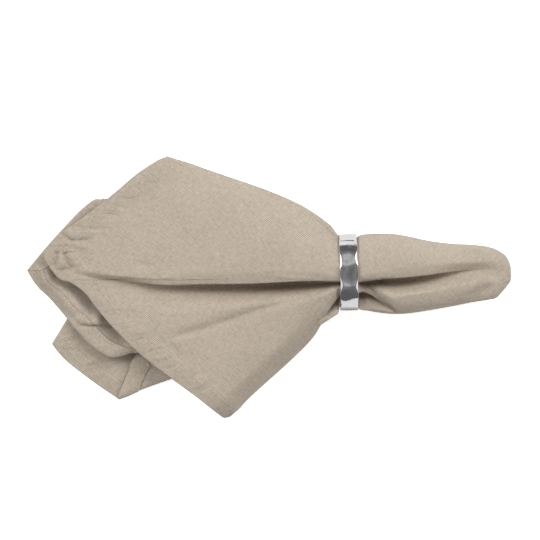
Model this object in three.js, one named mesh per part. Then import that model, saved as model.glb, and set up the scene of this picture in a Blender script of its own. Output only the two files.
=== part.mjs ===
// A square linen napkin pulled through a hammered metal ring and laid on a table.
// Millimetres, +Z up. While it is shaped, x = 0 is the middle of the ring and z = 0 is the table.
// The middle of the cloth is the closed tip of the tail at +X, its corners fan out at -X.
import * as THREE from 'three';

// Driving dimensions
const CLOTH_THICKNESS = 1.0;
const RING_OUTER_RADIUS = 23.5;
const RING_WALL = 1.4;
const RING_WIDTH = 11;
const RING_TURN = THREE.MathUtils.degToRad(1.3);
const RING_DISHES = 11;
const RING_DISH_DEPTH = 0.35;
const RING_DISH_FADE = 0.8;
const RING_EDGE_ROUND = 0.35;
const RING_SEGMENTS = 66;
const WAIST_RADIUS = 21.1;
const WAIST_HALF = 6.5;
const TABLE_TO_MIDDLE = CLOTH_THICKNESS / 2;

// Cross-sections of the whole bundle, one row a station along x: its two sides in y, the height of its
// crown, of its side edges and of its underside, how round the underside is (0 flat, 1 round), and the least
// share of the crown's rise that is left at the sides, so that the layers fit there.
const SECTIONS = [
  { x: -205, up: 116, low: -230, crown: 4, edge: 3, under: TABLE_TO_MIDDLE, round: 0, least: 0.12 },
  { x: -190, up: 109, low: -214, crown: 9.6, edge: 3.5, under: TABLE_TO_MIDDLE, round: 0, least: 0.12 },
  { x: -160, up: 95, low: -182, crown: 14.5, edge: 4.5, under: TABLE_TO_MIDDLE, round: 0, least: 0.12 },
  { x: -120, up: 77, low: -140, crown: 19, edge: 5.5, under: TABLE_TO_MIDDLE, round: 0, least: 0.12 },
  { x: -95, up: 67, low: -113, crown: 23, edge: 6, under: TABLE_TO_MIDDLE, round: 0, least: 0.13 },
  { x: -60, up: 55, low: -81, crown: 30, edge: 7.5, under: TABLE_TO_MIDDLE, round: 0, least: 0.18 },
  { x: -32, up: 43, low: -53, crown: 38, edge: 13, under: TABLE_TO_MIDDLE, round: 0.2, least: 0.3 },
  { x: -15, up: 30, low: -32, crown: 43, edge: 20.5, under: 1.4, round: 0.7, least: 0.32 },
  { x: -WAIST_HALF, up: WAIST_RADIUS, low: -WAIST_RADIUS, crown: 44.6, edge: 23.5, under: 2.4, round: 1,
    least: 0.32 },
  { x: WAIST_HALF, up: WAIST_RADIUS, low: -WAIST_RADIUS, crown: 44.6, edge: 23.5, under: 2.4, round: 1,
    least: 0.32 },
  { x: 15, up: 22.4, low: -24, crown: 43.4, edge: 21.5, under: 1.2, round: 1, least: 0.32 },
  { x: 30, up: 22.2, low: -25.2, crown: 40, edge: 18.5, under: TABLE_TO_MIDDLE, round: 1, least: 0.32 },
  { x: 50, up: 19, low: -23.2, crown: 36, edge: 16, under: TABLE_TO_MIDDLE, round: 1, least: 0.32 },
  { x: 75, up: 16.6, low: -18.7, crown: 29, edge: 12.5, under: TABLE_TO_MIDDLE, round: 1, least: 0.32 },
  { x: 92, up: 13.2, low: -14.8, crown: 21, edge: 10, under: 2, round: 1, least: 0.32 },
  { x: 99.5, up: 6.8, low: -8.6, crown: 14, edge: 9, under: 4.5, round: 1, least: 0.32 },
];
const TIP = new THREE.Vector3(101.2, -1.5, 8.8);

// The long valley over the middle of the cloth, from the fan's point through the ring to the tail.
const VALLEY = [
  { x: -178, y: 1.5, depth: 0 },
  { x: -160, y: -1.5, depth: 2.4 },
  { x: -135, y: -6.7, depth: 3.6 },
  { x: -118, y: -9.2, depth: 4.8 },
  { x: -90, y: -8.4, depth: 8 },
  { x: -60, y: -8, depth: 10.5 },
  { x: -30, y: -6.8, depth: 12.5 },
  { x: -6, y: -6.3, depth: 11.5 },
  { x: 6, y: -6.2, depth: 9.5 },
  { x: 30, y: -4.2, depth: 7.5 },
  { x: 50, y: -1.9, depth: 6 },
  { x: 75, y: 1.8, depth: 6 },
  { x: 90, y: 2.2, depth: 2 },
  { x: 97, y: 2, depth: 0 },
];
const VALLEY_STEEP_SIDE = 8;
const VALLEY_GENTLE_SIDE = 17;
// Under the top layer the stack sinks in one broad trough, a little deeper than the valley.
const STACK_TROUGH_SIDE = 32;
const STACK_TROUGH_DEPTH = 1.15;

// The second crease, down the lower lobe of the fan.
const CREASE = [
  { x: -114, y: -41, depth: 0 },
  { x: -101, y: -38, depth: 0.7 },
  { x: -85, y: -35, depth: 2 },
  { x: -61, y: -25.5, depth: 2.6 },
  { x: -41, y: -19.5, depth: 2.4 },
  { x: -23, y: -14, depth: 1 },
  { x: -12, y: -10, depth: 0 },
];
const CREASE_HALF_WIDTH = 6;

// The layers that the gathered cloth makes, in the order of one walk around it. level is the share of the
// stack's height, runs is the walk's way across (1 from the upper side to the lower), waist the y of the two
// sides in the ring, turn the stretch of the closed tail's round section that the layer becomes, one point
// where it is a pleat that ends, and bulge how far its sides swell out beside the ring. hem lists the free
// edge from the upper side to the lower.
const LAYERS = [
  { level: 1.0, runs: 1, spans: 18, waist: [19.4, -17.6], turn: [15, 140], bulge: 7, corner: 2,
    hem: [[-112, 68.5], [-146, 48.8], [-189, 11.3], [-176.5, -5], [-158, -19.5], [-130.5, -49.2],
      [-108.5, -66.2], [-76, -88.5]] },
  { level: 0.82, runs: -1, spans: 9, waist: [15.5, -17.2], turn: [160, 160], bulge: 7, corner: 2,
    hem: [[-153, 43.6], [-178, 24.3], [-198.5, 2], [-187, -14.7], [-164.3, -40.5], [-148, -52.4],
      [-132, -50], [-104, -64], [-76, -87]] },
  { level: 0.69, runs: 1, spans: 6, waist: [15, -18.7], turn: [170, 170], bulge: 7, corner: 1,
    hem: [[-153, 43], [-160, 0], [-90, -73]] },
  { level: 0.56, runs: -1, spans: 6, waist: [13.5, -18.7], turn: [178, 178], bulge: 7, corner: 1,
    hem: [[-126, 51], [-148, -8], [-90, -72]] },
  { level: 0.43, runs: 1, spans: 6, waist: [13, -18.6], turn: [188, 188], bulge: 5, corner: 1,
    hem: [[-126, 51], [-142, -10], [-94, -67]] },
  { level: 0.0, runs: -1, spans: 6, waist: [15.5, -18.6], turn: [222, 312], bulge: 4, corner: 1,
    hem: [[-134, 38], [-146, -8], [-94, -66]] },
  { level: 0.15, runs: 1, spans: 8, waist: [15.5, -12.5], turn: [340, 340], bulge: 2, corner: 1,
    hem: [[-134, 38], [-183, -45.3], [-179.5, -50.3], [-160, -66.8], [-142, -78]] },
  { level: 0.3, runs: -1, spans: 7, waist: [19, -12.5], turn: [356, 356], bulge: 4, corner: 1,
    hem: [[-112, 67.5], [-130.5, -50], [-136, -62], [-141.5, -77.3]] },
];
const LEAST_FOLD_ROUND = 1;
const WAIST_FOLD_ROUND = 1.6;
const FAN_FOLD_ROUND = 4;
const FOLD_STEPS = 2;
// The layers' sides swell most at a third of the way to the hem, where this makes the swell 1.
const SWELL_PEAK = 27 / 4;
const FAN_FOLD_FULL_AT = 0.25;

// Where the rows of the mesh lie: x along the tail and in the ring, then shares of the way to the hem.
const TAIL_ROWS = [99.8, 96.5, 90.5, 81, 70, 58, 48, 37, 27, 18, 11, WAIST_HALF, 0];
const FAN_ROWS = 12;
const FAN_ROWS_CROWD_RING = 1.25;
const PLEATS_FULL_AT = 8;
const PLEATS_GONE_AT = 27;

// A table's columns as smooth functions of its x.
function smoothTable(rows) {
  const names = Object.keys(rows[0]).filter((name) => name !== 'x');
  const stations = rows.map((row) => row.x);
  const values = rows.flatMap((row) => names.map((name) => row[name]));
  const curve = new THREE.CubicInterpolant(stations, values, names.length);
  const first = stations[0];
  const last = stations[stations.length - 1];
  return (x) => {
    const found = curve.evaluate(THREE.MathUtils.clamp(x, first, last));
    return Object.fromEntries(names.map((name, i) => [name, found[i]]));
  };
}

const sectionAt = smoothTable(SECTIONS);
const valleyAt = smoothTable(VALLEY);
const creaseAt = smoothTable(CREASE);

function troughDepth(trough, y, upperSide, lowerSide) {
  const across = y - trough.y;
  const width = across > 0 ? upperSide : lowerSide;
  return Math.max(trough.depth, 0) * Math.exp(-((across / width) ** 2));
}

// Share of the crown's rise over a place: 1 in the middle of the section, least at its sides.
function crownAt(x, y) {
  const section = sectionAt(x);
  const half = (section.up - section.low) / 2;
  const across = (y - (section.up + section.low) / 2) / half;
  return Math.max(Math.sqrt(Math.max(1 - across ** 2, 0)), section.least);
}

// Height of the top layer, of the stack under it and of the underside, over a place on the table.
function heightsAt(x, y, crown = crownAt(x, y)) {
  const section = sectionAt(x);
  const valley = valleyAt(x);
  const rise = section.crown - section.edge;
  const topTrough = troughDepth(valley, y, VALLEY_STEEP_SIDE, VALLEY_GENTLE_SIDE)
    + troughDepth(creaseAt(x), y, CREASE_HALF_WIDTH, CREASE_HALF_WIDTH);
  const stackTrough = STACK_TROUGH_DEPTH * troughDepth(valley, y, STACK_TROUGH_SIDE, STACK_TROUGH_SIDE);
  const under = Math.max(section.under, TABLE_TO_MIDDLE);
  const rounding = Math.max(section.round, 0) * (1 - crown);
  return {
    top: section.edge + (rise - topTrough) * crown,
    stack: section.edge + (rise - stackTrough) * crown,
    under: THREE.MathUtils.lerp(under, section.edge, rounding),
  };
}

// Height of a column over a place: its level in the stack, drawn up to the top layer where it belongs there.
function columnHeight(column, x, y) {
  const { top, stack, under } = heightsAt(x, y);
  return THREE.MathUtils.lerp(under, THREE.MathUtils.lerp(stack, top, column.onTop), column.level);
}

// A point at an even share of a polyline, with one of its corners kept on a column of the mesh.
function hemPoint(layer, column) {
  const points = layer.hem.map(([x, y]) => new THREE.Vector2(x, y));
  const lengths = [0];
  for (let i = 1; i < points.length; i += 1) {
    lengths.push(lengths[i - 1] + points[i].distanceTo(points[i - 1]));
  }
  const total = lengths[lengths.length - 1];
  const cornerLength = lengths[layer.corner];
  const cornerColumn = Math.round((layer.spans * cornerLength) / total);
  const wanted = column <= cornerColumn
    ? (cornerLength * column) / cornerColumn
    : cornerLength + ((total - cornerLength) * (column - cornerColumn)) / (layer.spans - cornerColumn);
  const piece = Math.max(1, lengths.findIndex((length) => length >= wanted - 1e-6));
  const share = (wanted - lengths[piece - 1]) / (lengths[piece] - lengths[piece - 1]);
  return points[piece - 1].clone().lerp(points[piece], share);
}

// One column of the mesh on a layer: where it passes the ring, where it ends, how high it lies in the stack.
function layerColumn(layer, column) {
  const across = column / layer.spans;
  return {
    level: layer.level,
    onTop: layer.level === 1 ? 1 : 0,
    waistY: THREE.MathUtils.lerp(layer.waist[0], layer.waist[1], across),
    hem: hemPoint(layer, column),
    swell: layer.bulge * (2 * across - 1),
    outward: 0,
  };
}

function layerColumns(layer) {
  const columns = [];
  for (let step = 0; step <= layer.spans; step += 1) {
    const column = layer.runs > 0 ? step : layer.spans - step;
    const made = layerColumn(layer, column);
    made.turn = THREE.MathUtils.lerp(layer.turn[0], layer.turn[1], step / layer.spans);
    made.repeatsInPouch = step > 0 && layer.turn[0] === layer.turn[1];
    columns.push(made);
  }
  return columns;
}

// The rounded turn from the end of one layer to the start of the next one in the walk.
function foldColumns(from, to, side, nextTurn) {
  const columns = [];
  for (let step = 1; step <= FOLD_STEPS; step += 1) {
    const share = step / (FOLD_STEPS + 1);
    const swing = (1 - Math.cos(Math.PI * share)) / 2;
    columns.push({
      level: THREE.MathUtils.lerp(from.level, to.level, swing),
      onTop: THREE.MathUtils.lerp(from.onTop, to.onTop, swing),
      waistY: THREE.MathUtils.lerp(from.waistY, to.waistY, swing),
      hem: from.hem.clone().lerp(to.hem, swing),
      swell: THREE.MathUtils.lerp(from.swell, to.swell, swing),
      turn: THREE.MathUtils.lerp(from.turn, nextTurn, share),
      outward: side * Math.sin(Math.PI * share),
      height: Math.abs(from.level - to.level),
    });
  }
  return columns;
}

function walkAroundCloth() {
  const layers = LAYERS.map(layerColumns);
  return layers.flatMap((columns, i) => {
    const next = layers[(i + 1) % layers.length];
    const last = columns[columns.length - 1];
    const fullTurn = i === layers.length - 1 ? 360 : 0;
    const lowerSide = LAYERS[i].runs > 0 ? -1 : 1;
    return [...columns, ...foldColumns(last, next[0], lowerSide, next[0].turn + fullTurn)];
  });
}

// How far a fold stands out from the ends of its two layers.
function foldReach(column, x, y, cap) {
  if (!column.outward) return 0;
  const { stack, under } = heightsAt(x, y);
  return column.outward * THREE.MathUtils.clamp((column.height * (stack - under)) / 2, LEAST_FOLD_ROUND, cap);
}

// The pleated stack, as it is in the ring.
function pleatedPoint(column, x) {
  const section = sectionAt(x);
  const half = (section.up - section.low) / 2;
  const middle = (section.up + section.low) / 2;
  const flat = middle + (half * column.waistY) / WAIST_RADIUS;
  const y = flat + foldReach(column, x, flat, WAIST_FOLD_ROUND);
  return new THREE.Vector3(x, y, columnHeight(column, x, y));
}

// The round pouch, as it is at the end of the tail.
function pouchPoint(column, x) {
  const section = sectionAt(x);
  const angle = THREE.MathUtils.degToRad(column.turn);
  const half = (section.up - section.low) / 2;
  const y = (section.up + section.low) / 2 + half * Math.cos(angle);
  const { top, under } = heightsAt(x, y, Math.abs(Math.sin(angle)));
  return new THREE.Vector3(x, y, Math.sin(angle) >= 0 ? top : under);
}

function tailPoint(column, x) {
  const left = (PLEATS_GONE_AT - x) / (PLEATS_GONE_AT - PLEATS_FULL_AT);
  const pleats = Math.sqrt(THREE.MathUtils.clamp(left, 0, 1));
  return pouchPoint(column, x).lerp(pleatedPoint(column, x), pleats);
}

// A layer spreads from the ring to its hem, and its sides swell out on the way.
function fanPoint(column, share) {
  const start = new THREE.Vector2(-WAIST_HALF, column.waistY);
  const place = start.clone().lerp(column.hem, share);
  const sideways = column.hem.clone().sub(start).normalize();
  const swell = column.swell * SWELL_PEAK * share * (1 - share) ** 2;
  const spread = Math.min(1, share / FAN_FOLD_FULL_AT);
  const cap = THREE.MathUtils.lerp(WAIST_FOLD_ROUND, FAN_FOLD_ROUND, spread);
  const reach = Math.abs(foldReach(column, place.x, place.y, cap)) * -Math.sign(column.outward);
  place.x += -sideways.y * (swell + reach);
  place.y += sideways.x * (swell + reach);
  return new THREE.Vector3(place.x, place.y, columnHeight(column, place.x, place.y));
}

// The middle surface as rows of point numbers, from the tip to the hem. Where a pleat has ended, the columns
// of its layers share one point.
function clothGrid() {
  const columns = walkAroundCloth();
  const points = [TIP];
  const rows = [];
  TAIL_ROWS.forEach((x) => {
    const row = [];
    columns.forEach((column) => {
      const shared = column.repeatsInPouch && x >= PLEATS_GONE_AT;
      row.push(shared ? row[row.length - 1] : points.push(tailPoint(column, x)) - 1);
    });
    rows.push(row);
  });
  for (let row = 0; row <= FAN_ROWS; row += 1) {
    const share = (row / FAN_ROWS) ** FAN_ROWS_CROWD_RING;
    rows.push(columns.map((column) => points.push(fanPoint(column, share)) - 1));
  }
  return { points, rows };
}

// Triangles of the middle surface: a fan around the tip, then strips from row to row.
function clothTriangles(rows) {
  const triangles = [];
  rows[0].forEach((number, i) => {
    const j = (i + 1) % rows[0].length;
    triangles.push([0, number, rows[0][j]]);
    for (let row = 0; row + 1 < rows.length; row += 1) {
      const [here, next] = [rows[row], rows[row + 1]];
      triangles.push([here[i], next[i], here[j]], [here[j], next[i], next[j]]);
    }
  });
  return triangles.filter(([a, b, c]) => a !== b && b !== c && c !== a);
}

function pointsGeometry(points, triangles) {
  const geometry = new THREE.BufferGeometry().setFromPoints(points);
  geometry.setIndex(triangles.flat());
  geometry.computeVertexNormals();
  return geometry;
}

// The cloth has half its thickness on either side of the middle surface, and its hem closes it.
function napkinGeometry() {
  const { points: middle, rows } = clothGrid();
  const outside = clothTriangles(rows);
  const normals = pointsGeometry(middle, outside).getAttribute('normal');
  const shifted = (distance) => middle.map((point, i) => {
    const normal = new THREE.Vector3().fromBufferAttribute(normals, i);
    return point.clone().addScaledVector(normal, distance);
  });
  const points = [...shifted(CLOTH_THICKNESS / 2), ...shifted(-CLOTH_THICKNESS / 2)];
  const inner = middle.length;
  const inside = outside.map(([a, b, c]) => [inner + a, inner + c, inner + b]);
  const hem = rows[rows.length - 1];
  const edge = hem.flatMap((a, i) => {
    const b = hem[(i + 1) % hem.length];
    return [[a, inner + a, b], [b, inner + a, inner + b]];
  });
  return pointsGeometry(points, [...outside, ...inside, ...edge]);
}

// The ring's section, around once from its inner edge, with extra points across the hammered face.
function ringProfile() {
  const inner = RING_OUTER_RADIUS - RING_WALL;
  const outer = RING_OUTER_RADIUS;
  const half = RING_WIDTH / 2;
  const flat = half - RING_EDGE_ROUND;
  const acrossFace = [-1, -0.6, -0.2, 0.2, 0.6, 1];
  const profile = [
    [inner, -flat],
    [inner + RING_EDGE_ROUND, -half],
    [outer - RING_EDGE_ROUND, -half],
    ...acrossFace.map((share) => [outer, share * flat]),
    [outer - RING_EDGE_ROUND, half],
    [inner + RING_EDGE_ROUND, half],
    [inner, flat],
    [inner, -flat],
  ];
  return profile.map(([radius, along]) => new THREE.Vector2(radius, along));
}

// A band turned about its axis, with a row of shallow hammer marks around its outer face.
function ringGeometry() {
  const geometry = new THREE.LatheGeometry(ringProfile(), RING_SEGMENTS);
  const places = geometry.getAttribute('position');
  const point = new THREE.Vector3();
  for (let i = 0; i < places.count; i += 1) {
    point.fromBufferAttribute(places, i);
    const radius = Math.hypot(point.x, point.z);
    if (radius > RING_OUTER_RADIUS - RING_EDGE_ROUND / 2) {
      const around = Math.cos((RING_DISHES / 2) * Math.atan2(point.x, point.z)) ** 2;
      const across = 1 - RING_DISH_FADE * ((2 * point.y) / RING_WIDTH) ** 2;
      const scale = (radius - RING_DISH_DEPTH * around * across) / radius;
      places.setXYZ(i, point.x * scale, point.y, point.z * scale);
    }
  }
  return geometry.rotateZ(-Math.PI / 2);
}

const clothColour = new THREE.MeshStandardMaterial({ color: 0xbeb09c, roughness: 0.95, metalness: 0 });
const silverMetal = new THREE.MeshStandardMaterial({ color: 0xd8d9db, roughness: 0.12, metalness: 1 });

const napkin = new THREE.Mesh(napkinGeometry(), clothColour);
napkin.name = 'napkin';

const ring = new THREE.Mesh(ringGeometry(), silverMetal);
ring.name = 'ring';
ring.position.z = RING_OUTER_RADIUS;
ring.rotation.z = RING_TURN;

// The part's origin is on the table under the middle of its box.
const bundle = new THREE.Group();
bundle.add(napkin, ring);
bundle.updateMatrixWorld(true);
const box = new THREE.Box3().setFromObject(bundle, true);
bundle.position.set(-(box.min.x + box.max.x) / 2, -(box.min.y + box.max.y) / 2, -box.min.z);

const part = new THREE.Group();
part.add(bundle);

export default part;
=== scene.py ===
# A cloth napkin in a hammered metal ring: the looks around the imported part, in metres, in the part's frame.
import math

import bpy
import numpy as np
from mathutils import Matrix, Vector, noise


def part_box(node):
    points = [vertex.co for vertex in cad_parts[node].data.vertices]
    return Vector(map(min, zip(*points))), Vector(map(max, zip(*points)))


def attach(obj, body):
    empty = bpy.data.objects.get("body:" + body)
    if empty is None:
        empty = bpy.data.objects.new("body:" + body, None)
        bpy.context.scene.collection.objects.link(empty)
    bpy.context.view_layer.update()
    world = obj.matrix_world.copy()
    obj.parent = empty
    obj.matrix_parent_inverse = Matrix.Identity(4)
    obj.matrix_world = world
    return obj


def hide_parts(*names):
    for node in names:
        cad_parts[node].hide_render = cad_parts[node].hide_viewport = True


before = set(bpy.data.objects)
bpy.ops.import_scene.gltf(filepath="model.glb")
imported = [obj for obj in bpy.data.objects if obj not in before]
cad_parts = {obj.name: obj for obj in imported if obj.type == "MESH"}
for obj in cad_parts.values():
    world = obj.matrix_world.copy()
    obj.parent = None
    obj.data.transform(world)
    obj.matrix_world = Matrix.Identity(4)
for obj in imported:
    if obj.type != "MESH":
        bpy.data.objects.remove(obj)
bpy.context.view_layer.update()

# Napkin: a square of washed, plain-woven beige linen with its edges turned in twice, mitred and stitched.
# Its middle is the closed tail at +X. It is drawn through the ring, and its corners fan out at -X as one
# back-and-forth stack of layers. It is shaped in millimetres, with x = 0 in the middle of the ring.
MM = 0.001
CLOTH_THICKNESS = 0.55
HEM_WIDTH = 10.4
HEM_RISE = 0.6
STITCH_INSET = 9.2
WAIST_RADIUS = 21.1
WAIST_HALF = 5.7
TABLE_TO_MIDDLE = 0.5
TIP = (101.2, -1.5, 8.8)
ring_low, ring_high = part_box("ring")
RING_MIDDLE = (ring_low + ring_high) / 2

# The whole bundle, one row a station: its two sides in y, the heights of its crown, of its side edges and
# of its underside, how round the underside is, and the least share of the rise that is left at the sides.
SECTION_COLUMNS = ("x", "up", "low", "crown", "edge", "under", "round", "least")
SECTIONS = [
    (-205, 116, -230, 4, 3, 0.5, 0, 0.12),
    (-190, 109, -214, 9.6, 3.5, 0.5, 0, 0.12),
    (-160, 95, -182, 14.5, 4.5, 0.5, 0, 0.12),
    (-120, 77, -140, 19, 5.5, 0.5, 0, 0.12),
    (-95, 67, -113, 23, 6, 0.5, 0, 0.13),
    (-60, 55, -81, 30, 7.5, 0.5, 0, 0.18),
    (-32, 43, -53, 38, 13, 0.5, 0.2, 0.3),
    (-15, 30, -32, 43, 20.5, 1.4, 0.7, 0.32),
    (-5.7, 21.1, -21.1, 44.6, 23.5, 2.4, 1, 0.32),
    (5, 21.1, -21.1, 44.6, 23.5, 2.4, 1, 0.32),
    (5.6, 21.6, -21.8, 44.6, 23.5, 2.4, 1, 0.32),
    (6.6, 22.8, -23.6, 44.6, 23.3, 2.3, 1, 0.32),
    (8, 23.3, -24.4, 44.5, 23, 2, 1, 0.32),
    (10, 23.6, -24.8, 44.4, 22.6, 1.7, 1, 0.32),
    (15, 23.9, -25.3, 43.4, 21.5, 1.2, 1, 0.32),
    (26, 23.6, -25.8, 41, 19.2, 0.5, 1, 0.32),
    (37, 21.9, -25.4, 38.6, 17.6, 0.5, 1, 0.32),
    (48.4, 19.4, -23.8, 36.3, 16.2, 0.5, 1, 0.32),
    (63.5, 17.4, -21.2, 32.4, 14.2, 0.5, 1, 0.32),
    (79, 16.5, -18.2, 27.6, 12, 0.8, 1, 0.32),
    (88, 15.2, -16.8, 23.2, 10.6, 1.6, 1, 0.32),
    (92, 13.8, -15.9, 20.6, 10, 2.2, 1, 0.32),
    (95, 12, -12.9, 18.2, 9.6, 2.8, 1, 0.32),
    (99.4, 7.4, -7.6, 14, 9, 4.5, 1, 0.32),
    (100.9, 3.4, -5.4, 11.4, 8.9, 6.6, 1, 0.32),
]

# The long valley over the middle: the y of the upper lobe's rolled lip, how wide the dark floor below it is,
# the y of the lower lobe's shoulder, how deep it is, how far back the lip rolls, how far it leans over the
# floor, and how sharp the lip is.
VALLEY_COLUMNS = ("x", "lip", "floor", "shoulder", "depth", "roll", "lean", "sharp")
VALLEY = [
    (-184, 3, 0, -8, 0, 5, 0, 0),
    (-172, -0.6, 0, -11, 1.2, 5, 0, 0),
    (-160, -3.4, 0, -15, 2.8, 4, 0, 0),
    (-135, -6.4, 1.4, -22, 7.5, 4, 0.5, 0.5),
    (-118, -7.8, 1.8, -25, 10.5, 5, 1.4, 1),
    (-90, -6.4, 3.1, -24, 15, 6, 2.6, 1),
    (-60, -5.6, 3.7, -21, 18.5, 6, 3, 1),
    (-30, -4.2, 4, -16.6, 22, 5.5, 3, 1),
    (-15, -5.2, 2.2, -12.8, 19, 4.5, 1.8, 1),
    (-6, -6.2, 0.8, -10.4, 14, 3.5, 1, 1),
    (6, -6.2, 0.8, -10.4, 14, 3.5, 1, 1),
    (15, -4.9, 2, -13, 17, 5, 1.6, 1),
    (30, -3, 3.4, -15, 18, 6, 2.2, 1),
    (48, -1.6, 2.6, -13, 14, 6.5, 1.8, 1),
    (61, -0.4, 1.2, -11, 9.6, 6.5, 1, 0.8),
    (75, 0.5, 0.6, -8.4, 5.6, 6, 0.3, 0.2),
    (88, 1, 0, -6.6, 2.6, 6, 0, 0),
    (97, -1, 0, -6, 0, 6, 0, 0),
]
FLOOR_BEHIND_LIP = 0.5
WALL_BEHIND_LIP = 1.7
LIP_DROP = 0.4
WALL_ROUND = 0.5
TAIL_FLATNESS = 0.8
TAIL_FLAT_FROM = 7.7
TAIL_FLAT_LENGTH = 14
FAN_FLATNESS = 0.8
FAN_FLAT_FROM = -20
FAN_FLAT_LENGTH = 40
STACK_TROUGH_SIDE = 0.4
STACK_TROUGH_LIMITS = (8, 32)
STACK_TROUGH_DEPTH = 1.15


def table_columns(names, rows):
    return dict(zip(names, np.array(rows, float).T))


section_table = table_columns(SECTION_COLUMNS, SECTIONS)
section_table["half"] = (section_table["up"] - section_table["low"]) / 2
section_table["middle"] = (section_table["up"] + section_table["low"]) / 2
valley_table = table_columns(VALLEY_COLUMNS, VALLEY)


def smooth(x, stations, values):
    """A curve through the values of a table, level with its ends outside them."""
    slopes = np.gradient(values, stations)
    x = np.clip(x, stations[0], stations[-1])
    i = np.clip(np.searchsorted(stations, x) - 1, 0, len(stations) - 2)
    step = stations[i + 1] - stations[i]
    t = (x - stations[i]) / step
    rise = values[i + 1] - values[i]
    bend_in = slopes[i] * step - rise
    bend_out = rise - slopes[i + 1] * step
    return values[i] + rise * t + t * (1 - t) * (bend_in * (1 - t) + bend_out * t)


def at_station(table, x):
    return {name: smooth(x, table["x"], table[name]) for name in table if name != "x"}


def ease(t):
    t = np.clip(t, 0, 1)
    return t * t * (3 - 2 * t)


def mix(a, b, share):
    return a + (b - a) * share


def valley_shape(x, y):
    """Depth of the valley over a place, and how far the lip leans there."""
    valley = at_station(valley_table, x)
    depth = np.maximum(valley["depth"], 0)
    sharp = np.clip(valley["sharp"], 0, 1)
    edge = valley["lip"] + WALL_BEHIND_LIP
    start = valley["lip"] + valley["roll"]
    down = np.clip((start - y) / (start - edge), 0, 1)
    rolled = np.minimum(LIP_DROP * valley["roll"], depth) * (1 - np.cos(np.pi / 2 * down))
    falling = ease((edge - y) / (WALL_BEHIND_LIP - FLOOR_BEHIND_LIP))
    hard = mix(rolled, depth, falling)
    soft = depth * ease((start - y) / (start - valley["lip"]))
    wall = valley["lip"] - np.maximum(valley["floor"], 0)
    climbed = np.clip((wall - y) / (wall - valley["shoulder"]), 0, 1)
    rising = depth * (1 - mix(ease(climbed), np.sin(np.pi / 2 * climbed), WALL_ROUND * sharp))
    lean = valley["lean"] * down**2 * (1 - falling)
    upper = y > valley["lip"]
    return np.where(upper, mix(soft, hard, sharp), rising), np.where(upper, lean, 0)


def crown_share(x, y, least=1):
    """Share of the rise that is left at a place: 1 at the crown, less towards the sides."""
    section = at_station(section_table, x)
    across = (y - section["middle"]) / section["half"]
    power = 2 + TAIL_FLATNESS * ease((x - TAIL_FLAT_FROM) / TAIL_FLAT_LENGTH)
    power += FAN_FLATNESS * ease((FAN_FLAT_FROM - x) / FAN_FLAT_LENGTH)
    rounded = np.maximum(1 - np.abs(across) ** power, 0) ** (1 / power)
    return np.maximum(rounded, section["least"] * least)


def heights(x, y, crown=None):
    """Heights of the top layer, of the stack under it and of the underside over a place."""
    section = at_station(section_table, x)
    valley = at_station(valley_table, x)
    crown = crown_share(x, y) if crown is None else crown
    rise = section["crown"] - section["edge"]
    trough, _ = valley_shape(x, y)
    trough_side = np.clip(STACK_TROUGH_SIDE * section["half"], *STACK_TROUGH_LIMITS)
    broad = np.exp(-(((y - valley["lip"]) / trough_side) ** 2))
    stack_trough = STACK_TROUGH_DEPTH * np.maximum(valley["depth"], 0) * broad
    under = np.maximum(section["under"], TABLE_TO_MIDDLE)
    rounding = np.maximum(section["round"], 0) * (1 - crown)
    return (
        section["edge"] + (rise - trough) * crown,
        section["edge"] + (rise - stack_trough) * crown,
        mix(under, section["edge"], rounding),
    )


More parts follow.
